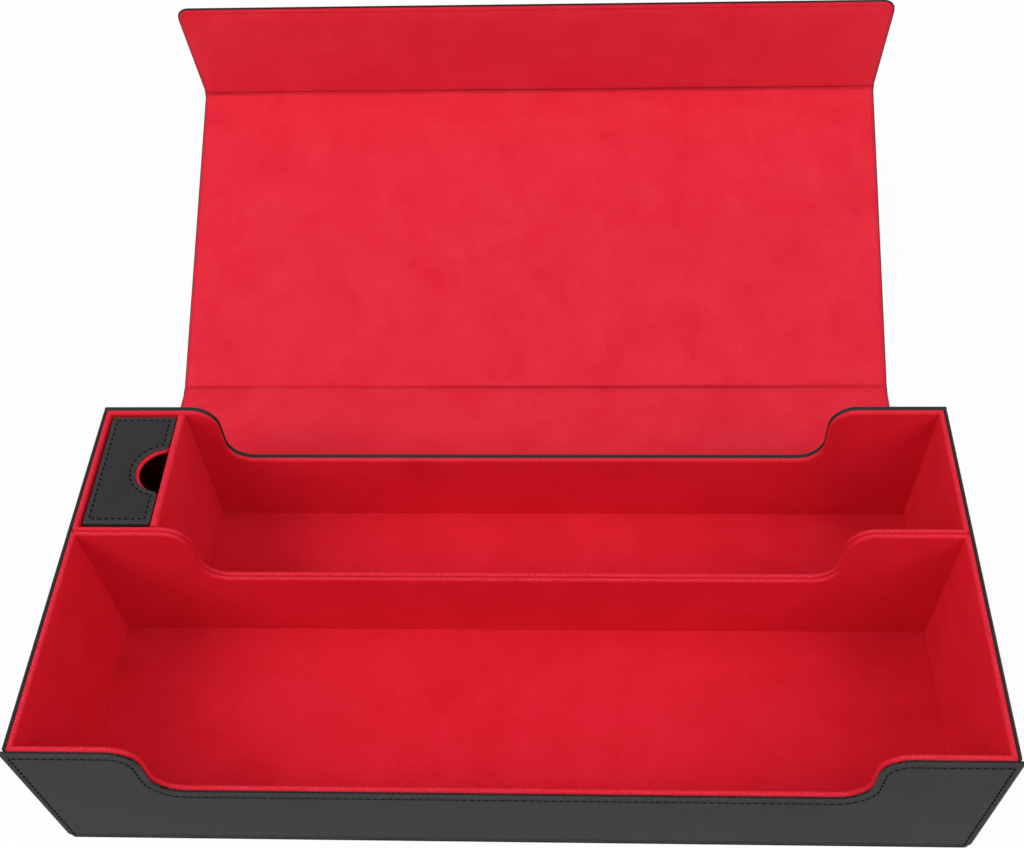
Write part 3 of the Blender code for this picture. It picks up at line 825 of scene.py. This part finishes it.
# From the foot to the top: inset and depth below the face at the sides, then the same along the
# notch, where the cloth is padded to a bead that stands out under the leather's cut edge
bead_depth = 0.0134
bead_radius = 0.0146
foot_depth = face_top - board_foot
top_depth = face_top - board_top
board_profile = [
    (0.0009, foot_depth, 0.0022, foot_depth), (0.0003, foot_depth - 0.00015, 0.0013, 0.0038),
    (0.0, foot_depth - 0.0007, 0.0008, 0.0034), (0.0, 0.0036, 0.0003, 0.0031), (0.0, 0.0030, 0.0, 0.0025),
    (0.0, 0.0024, 0.0003, 0.0018), (0.0, top_depth + 0.0007, 0.0008, 0.0014),
    (0.0007, top_depth, 0.0016, 0.0012)]
rings = [drawer_face_ring(board_side + inset, notch_inset, face_top - depth, face_top - notch_drop,
                          bead_depth, bead_radius)
         for inset, depth, notch_inset, notch_drop in board_profile]
finish_piece("drawer_face_board_cloth", loft(rings), suede_darkened_for_shade, "drawer",
             ["drawer_face_board"])

face_seam = [(point.x, point.y) for point in drawer_face_ring(face_groove, face_groove, 0.0, 0.0)]
sew("drawer_face_stitching", [(face_seam, True)],
    lambda x, y, z: np.stack([x, y, face_top - seam_depth + z], axis=-1), black_thread,
    "drawer")

leather_round = 0.0004
for node in ("drawer_left_panel", "drawer_front_panel", "drawer_rear_panel", "drawer_bottom_panel"):
    softened(node, node + "_cover", leather_round, black_leather, "drawer")
# Painted shade: the drawer is lined with the same red suede, set much darker here for the shade deep inside
# it
inside_suede_darkened_for_shade = suede("red_microfibre_suede_darkened_for_drawer_shade", "#8E0A19", "#6E0410", 0.04)
for node in ("drawer_left_lining", "drawer_front_lining", "drawer_rear_lining", "drawer_bottom_lining"):
    softened(node, node + "_cloth", cloth_round, inside_suede_darkened_for_shade, "drawer")

# Cover leather
# One sheet of the coated leather makes the spine, the lid and the flap. It is pressed in along
# two creases at each fold, between the boards, and its edge is turned to a thin bullnose.
flap_slope = math.radians(101)
flap_corner = 0.009
bend_half = 0.00045
recess_steps = millimetres(0, 1.6, 2.2, 2.8, 3.4)
recess_depths = millimetres(0.35, 0.33, 0.18, 0.04, 0)
closest_rows = 0.00003
outer_groove_steps = millimetres(0, 2, 2.4, 2.8)
outer_groove_depths = millimetres(0, 0, 0.3, 0)
leather_steps = np.concatenate([bullnose, millimetres(1.6, 2, 2.2, 2.4, 2.6, 2.8, 3.6, 5.5, 9)])
cover_columns = 73
leather_rows = 24
flap_rows = 12
turn_rows = 9
flap_row_gap = 0.00004
flap_corner_gap = 0.001
far_off = 1.0
crease_bodies = [("box", "base_fold"), ("base_fold", "spine"), ("spine", "lid_fold"), ("lid_fold", "lid"),
                 ("lid", "flap_fold"), ("flap_fold", "flap")]
cover_slopes = [math.atan2(after.z - before.z, after.y - before.y)
                for before, after in zip(crease_axes, crease_axes[1:])] + [flap_slope]
panel_lengths = [(after - before).length for before, after in zip(crease_axes, crease_axes[1:])]
flap_length = (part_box("flap_leather")[1].z - crease_axes[-1].z) / math.sin(flap_slope)
path_starts = [0.0, *np.cumsum(panel_lengths)]
# Each panel goes by the number of its first crease, and only the flap has a free end
cover_panels = ((1, "spine"), (3, "lid"), (5, "flap"))
free_ends = {5: flap_length}


def laid(number, slope=None):
    """Lay a panel out from its first crease: across, along its slope, and in from its outer face."""
    axis = crease_axes[number]
    slope = cover_slopes[number] if slope is None else slope

    def place(across, along, height):
        return np.stack([across, axis.y + along * math.cos(slope) - height * math.sin(slope),
                         axis.z + along * math.sin(slope) + height * math.cos(slope)], axis=-1)
    return place


def bent(number):
    """Lay out the strip on both sides of a crease, with a smooth turn between its two slopes."""
    before_slope = 0.0 if number == 0 else cover_slopes[number - 1]
    before = laid(number, before_slope)
    after = laid(number)

    def place(across, along, height):
        share = np.clip((along / bend_half + 1) / 2, 0, 1)[..., None]
        turned = share * share * (3 - 2 * share)
        return before(across, along, height) * (1 - turned) + after(across, along, height) * turned
    return place


def blend_ends(number):
    """Points just before and just after a crease, on the outer face."""
    place = bent(number)
    return [Vector(place(np.array(0.0), np.array(along), np.array(0.0))) for along in (-bend_half, bend_half)]


def cover_grid(along, edge_steps, inset, free_end=None):
    """Points over a panel, closer together towards its side edges and round at its free corners."""
    reach = np.full(along.shape, half_length - inset)
    if free_end:
        past = np.clip(along - (free_end - flap_corner), 0, flap_corner - inset)
        reach = half_length - flap_corner + np.sqrt((flap_corner - inset) ** 2 - past ** 2)
    reach = reach[:, None]
    steps = edge_steps - inset
    inner = np.linspace(-1, 1, cover_columns)[1:-1] * (reach - steps[-1])
    across = np.concatenate([-reach + steps, inner, reach - steps[::-1]], axis=1)
    return across, np.repeat(along[:, None], across.shape[1], axis=1)


def edge_distance(across, along, free_end=None):
    """Distance in from the cover's outer edge."""
    side = half_length - np.abs(across)
    if free_end is None:
        return side
    past_side = np.abs(across) - (half_length - flap_corner)
    past_end = along - (free_end - flap_corner)
    rounded = flap_corner - np.hypot(past_side, past_end)
    return np.where((past_side > 0) & (past_end > 0), rounded, np.minimum(side, free_end - along))


def from_fold_middle(number):
    """A measure for points beside a crease: their signed distance from the middle line of the fold."""
    shift = crease_half_width if number % 2 else -crease_half_width
    return lambda along: along + shift


def leather_sheet(along, place, fold_distance, free_end=None):
    """Leather between its pressed outer face and its glued inner face."""
    across, along = cover_grid(along, leather_steps, 0.0, free_end)
    edge = edge_distance(across, along, free_end)
    recess = np.interp(np.abs(fold_distance(along)), recess_steps, recess_depths)
    groove = np.interp(edge, outer_groove_steps, outer_groove_depths)
    low = recess + np.interp(edge, bullnose, bullnose_low) + groove * (edge > bullnose[-1])
    high = recess + np.interp(edge, bullnose, bullnose_high)
    return double_sheet(across, along, low, high, place)


def far_from_fold(along):
    """The same measure for the points of a panel, which no fold reaches."""
    return np.full(along.shape, far_off)


def panel_rows(number, count, end_steps, inset):
    """Rows of a panel between its creases, or of the flap, closer together towards its free edge."""
    if number not in free_ends:
        return np.linspace(crease_half_width, panel_lengths[number] - crease_half_width, count)
    steps = np.unique(np.concatenate([end_steps, [inset + flap_row_gap]]))
    steps = steps[steps >= inset]
    plain = np.linspace(crease_half_width, flap_length - flap_corner - flap_corner_gap, flap_rows)
    return np.concatenate([plain, flap_length - steps[::-1]])


def crease_rows(number, knots, strip_reach):
    """Rows beside a crease, from the panel's side of it to the strip's, with rows at the fold's knots."""
    panel_side = 1 if number % 2 else -1
    turning = np.linspace(-bend_half, bend_half, turn_rows)
    at_knots = np.asarray(knots) - panel_side * crease_half_width
    low, high = sorted((panel_side * crease_half_width, -panel_side * strip_reach))
    rows = np.unique(np.clip(np.concatenate([turning, at_knots, [low, high]]), low, high))
    return rows[np.concatenate([[True], np.diff(rows) > closest_rows])]


for number, bodies in enumerate(crease_bodies):
    rows = crease_rows(number, np.concatenate([recess_steps, -recess_steps]), crease_half_width)
    strip = leather_sheet(rows, bent(number), from_fold_middle(number))
    stands_for = [bodies[1] + "_leather"] if number % 2 == 0 else []
    piece = finish_piece("{}_crease_{}_leather".format(*bodies), strip, black_leather,
                         None, stands_for)
    blend_ends(number)
    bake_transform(piece)

for number, body in cover_panels:
    panel = leather_sheet(panel_rows(number, leather_rows, leather_steps, 0.0), laid(number),
                          far_from_fold, free_ends.get(number))
    finish_piece(body + "_cover", panel, black_leather, body, [body + "_leather"])
    paint(body + "_board", greyboard)


# Cover lining
# One sheet of red suede is glued over the boards of the spine, the lid and the flap. It sinks to
# the leather between the two creases of each fold, and it is pinched thin along its sewn edge.
lining_inset = 0.0010
pocket_edge = 0.0045
border_steps = millimetres(
    1, 1.1, 1.3, 1.5, 1.8, 2, 2.2, 2.4, 2.6, 2.8, 3.1, 3.6, 4.2, 4.45, 4.6, 5, 5.6, 6.4, 7.5, 9)
border_heights = millimetres(
    1.6, 2, 2.35, 2.55, 2.64, 2.68, 2.67, 2.63, 2.66, 2.71, 2.76, 2.84, 2.93, 2.97, 2.99, 3.05, 3.13,
    3.22, 3.33, 3.4)
# How much painted shade darkens the cloth: in from the edge, and across the lid's and the flap's folds
seam_shade = (millimetres(0, 1.3, 1.8, 2.2, 2.7, 3.1), [0.25, 0.2, 0.0, 0.2, 0.2, 0.0])
lid_crease_shade = (millimetres(-3, -2.2, -1.6, -1, -0.2, 0.6, 1.4, 2.2, 3, 3.8),
             [0.0, 0.08, 0.08, 0.02, 0.10, 0.28, 0.36, 0.36, 0.18, 0.0])
flap_crease_shade = (millimetres(-3.3, -1.2, 1.2, 2.4, 3, 3.3, 6), [0.0, 0.10, 0.30, 0.55, 0.55, 0.22, 0.0])
fold_shades = (([0.0], [0.0]), lid_crease_shade, flap_crease_shade)
# Places across each fold, from the panel before it to the panel after it, then the cloth's heights there
base_gutter = millimetres([-2.4, 2.4, 2.9, 3.1, 3.6, 4], [1.9, 1.9, 2.2, 3, 3.35, 3.4])
lid_gutter = millimetres(
    [-4, -3.2, -2.6, -2.1, -1.6, -0.8, 0, 0.6, 1.2, 1.6, 2, 2.3, 2.7, 3.1, 3.5, 4],
    [3.4, 3.32, 3.06, 2.8, 2.68, 2.72, 2.72, 2.67, 2.56, 2.48, 2.46, 2.52, 2.7, 3, 3.26, 3.4])
flap_gutter = millimetres(
    [-4, -3.6, -3.3, -3.12, -3.04, -3, -2.9, -2.3, 0, 2.3, 2.9, 3, 3.04, 3.12, 3.3, 3.6, 4],
    [3.4, 3.38, 3.28, 3, 2.6, 2.1, 1.8, 1.8, 1.9, 1.8, 1.8, 2.1, 2.6, 3, 3.28, 3.38, 3.4])
gutters = (base_gutter, lid_gutter, flap_gutter)
board_steps = np.array([0.00405, 0.00412])
cover_board_top = 0.00235
glue_gap = 0.00005
calm_border = 0.012
cloth_rows = 36
# How far the creases wander, how high the cloth waves, and by what share its painted crease shade changes
crease_wander = 0.00030
cloth_wave = 0.00010
shade_change = 0.9
# For each of them, how fast the noise runs across and along the sheet, then where it is taken from
wander_noise = (30, 0, 4.0, 1.5)
wave_noise = (16, 22, 0.0, 0.0)
shade_noise = (7, 0, 47.2, 0.5)


def cloth_noise(across, along, kind):
    """Smooth noise from -1 to 1 over the points of a sheet."""
    across_rate, along_rate, start, cut = kind
    values = [noise.noise((x * across_rate, s * along_rate + start, cut))
              for x, s in zip(across.ravel(), along.ravel())]
    return np.array(values).reshape(across.shape)


def lining_sheet(along, place, number, fold_distance, free_end=None):
    """Suede sheet: its face sinks at the sewn border and at the folds, where it carries painted shade, and
    its back clears the boards.
    """
    across, along = cover_grid(along, border_steps, lining_inset, free_end)
    edge = edge_distance(across, along, free_end)
    path = along + path_starts[number]
    distance = fold_distance(along)
    fold = distance + crease_wander * cloth_noise(across, path, wander_noise)
    high = np.minimum(np.interp(edge, border_steps, border_heights), np.interp(fold, *gutters[number // 2]))
    calm = np.clip(edge / calm_border, 0, 1)
    high = high + cloth_wave * cloth_noise(across, path, wave_noise) * calm
    over_board = (edge > pocket_edge) & (np.abs(distance) > board_steps[0])
    back = leather_thickness + glue_gap + np.interp(np.abs(distance), recess_steps, recess_depths)
    mesh = double_sheet(across, along, np.where(over_board, cover_board_top, back), high, place)
    # Painted shade along the folds and the sewn border, unevenly strong, stored on the points for the
    # material
    uneven_shade = 1 + shade_change * cloth_noise(across, path, shade_noise)
    painted_shade = np.maximum(np.interp(fold, *fold_shades[number // 2]) * uneven_shade, np.interp(edge, *seam_shade))
    mark(mesh, "pressed_nap", np.stack([painted_shade, painted_shade]))
    return mesh


# Painted light: the cover's copy of the same suede is paler and pinker than the rest, for the light on the
# lid and the flap
cover_suede = suede("red_microfibre_suede_paler_for_lit_cover", "#EA3647", "#D8132A", 0.12)
for number, bodies in enumerate(crease_bodies[1:], start=1):
    reach = crease_half_width
    if number == 1:
        reach = crease_axes[1].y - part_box("base_fold_lining")[0].y
    knots = np.concatenate([gutters[number // 2][0], fold_shades[number // 2][0], board_steps, -board_steps])
    strip = lining_sheet(crease_rows(number, knots, reach), bent(number), number, from_fold_middle(number))
    stands_for = [bodies[0] + "_lining"] if number % 2 else []
    piece = finish_piece("{}_crease_{}_cloth".format(*bodies), strip, cover_suede,
                         None, stands_for)
    blend_ends(number)
    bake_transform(piece)

for number, body in cover_panels:
    panel = lining_sheet(panel_rows(number, cloth_rows, border_steps, lining_inset), laid(number),
                         number, far_from_fold, free_ends.get(number))
    finish_piece(body + "_cloth", panel, cover_suede, body, [body + "_lining"])


# Cover stitching
# The cover is sewn round its three free edges, through leather and suede. The thread shows black
# on the leather, and on the suede a dark red thread sinks into the pinched border.
red_thread = bonded_thread("dark_red_bonded_polyester_thread", "#C01428", "#D42034", 0.12)
cover_seam_inset = 0.0024
inner_thread_height = 0.00234
outer_thread_height = 0.00034
seam_side = half_length - cover_seam_inset
seam_end = 0.001
seam_steps = 8
flap_seam = [(seam_side, seam_end)]
flap_seam += arc((half_length - flap_corner, flap_length - flap_corner), flap_corner - cover_seam_inset,
                 0, quarter_turn, seam_steps)


def raised(place, height):
    """A way of laying out, lifted off the outer face by a height."""
    return lambda across, along, lift: place(across, along, lift + height)


for number, body in cover_panels:
    if number in free_ends:
        seams = [(mirrored(flap_seam), False)]
    else:
        seams = [([(side, seam_end), (side, panel_lengths[number] - seam_end)], False)
                 for side in (-seam_side, seam_side)]
    place = laid(number)
    sew(body + "_inner_stitching", seams, raised(place, inner_thread_height), red_thread, body)
    sew(body + "_outer_stitching", seams, raised(place, outer_thread_height), black_thread,
        body)


# Closing magnets
# Bright nickel-plated discs lie in round holes in the flap's board and in the front wall's board.
# They are hidden under the leather and the suede.
plated_steel, tree, place = new_material("nickel_plated_magnet")
cast = add_node(tree, "ShaderNodeTexNoise", {"Vector": place, "Scale": 600.0, "Detail": 2.0})
rough = add_node(tree, "ShaderNodeMapRange", {"Value": cast, "To Min": 0.22, "To Max": 0.34})
surface = add_node(tree, "ShaderNodeBsdfPrincipled", {
    "Base Color": linear("#C9C7C2"), "Metallic": 1.0, "Roughness": rough})
add_node(tree, "ShaderNodeOutputMaterial", {"Surface": surface})
for node in ("front_magnet_left", "front_magnet_right", "flap_magnet_left", "flap_magnet_right"):
    paint(node, plated_steel)
